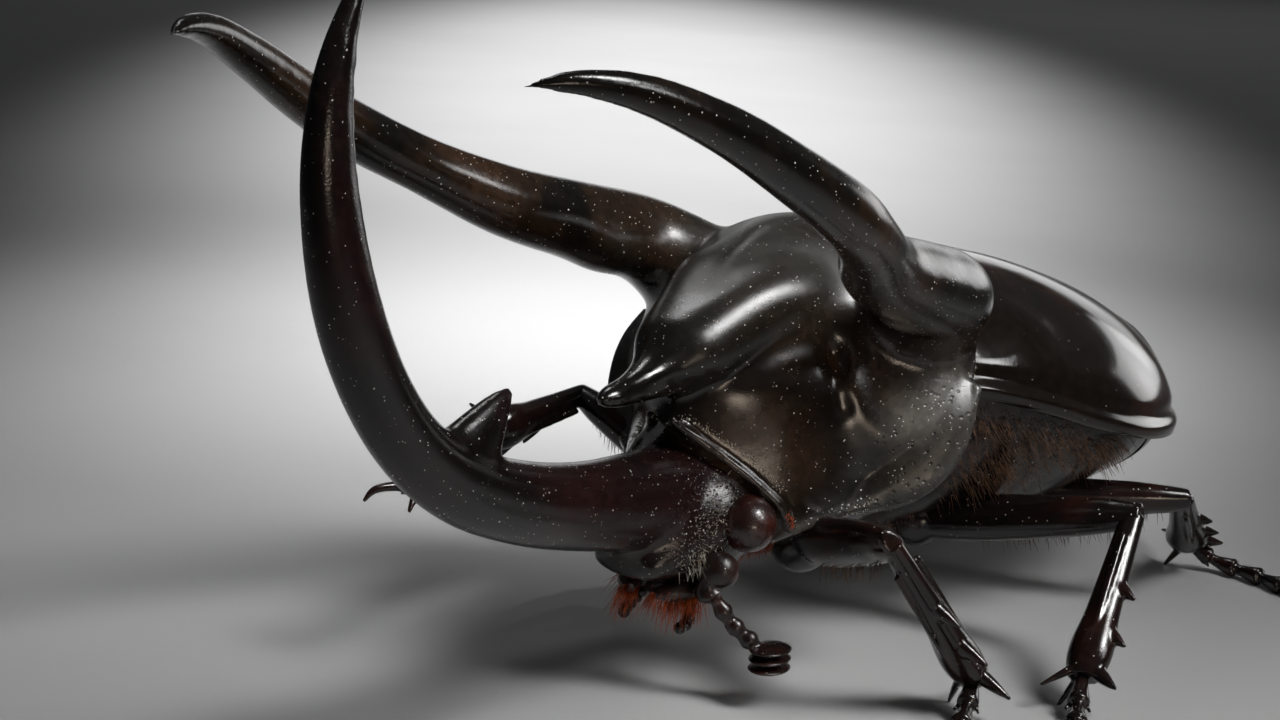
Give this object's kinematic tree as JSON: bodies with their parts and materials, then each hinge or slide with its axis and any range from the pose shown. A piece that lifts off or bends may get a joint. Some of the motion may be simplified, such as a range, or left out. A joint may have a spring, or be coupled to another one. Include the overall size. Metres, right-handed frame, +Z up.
{
  "type": "caucasus beetle",
  "caption": "Large horned rhinoceros beetle, a still life-size figure standing on its feet with a front foot raised.",
  "frame": {"origin": "middle of the footprint on the floor, under the front of the elytra", "axes": "+Z up, -Y the way the head points, +X the beetle's left side; the feet stand on Z = 0"},
  "size_m": [0.0765, 0.1196, 0.0593],
  "materials": {
    "black_shell": "glossy black chitin with an olive-bronze cast",
    "brown_shell": "glossy brown-black wing cases",
    "leg_shell": "glossy red-black legs",
    "eye_lens": "smooth dark brown eyes",
    "mouth_parts": "dull rust-brown mouthparts and feelers"
  },
  "bodies": {
    "root": {"prothorax": "black_shell", "pronotal_horn_left": "black_shell", "pronotal_horn_right": "black_shell", "pronotal_horn_median": "black_shell", "head": "black_shell", "head_horn": "black_shell", "eye_left": "eye_lens", "eye_right": "eye_lens", "antenna_left": "mouth_parts", "antenna_right": "mouth_parts", "mouthparts": "mouth_parts", "palp_left": "mouth_parts", "palp_right": "mouth_parts", "elytron_left": "brown_shell", "elytron_right": "brown_shell", "scutellum": "black_shell", "pterothorax": "black_shell", "abdomen": "black_shell", "femur_front_left": "leg_shell", "tibia_front_left": "leg_shell", "tarsus_front_left": "leg_shell", "femur_front_right": "leg_shell", "tibia_front_right": "leg_shell", "tarsus_front_right": "leg_shell", "femur_middle_left": "leg_shell", "tibia_middle_left": "leg_shell", "tarsus_middle_left": "leg_shell", "femur_middle_right": "leg_shell", "tibia_middle_right": "leg_shell", "tarsus_middle_right": "leg_shell", "femur_hind_left": "leg_shell", "tibia_hind_left": "leg_shell", "tarsus_hind_left": "leg_shell", "femur_hind_right": "leg_shell", "tibia_hind_right": "leg_shell", "tarsus_hind_right": "leg_shell"}
  },
  "joints": []
}
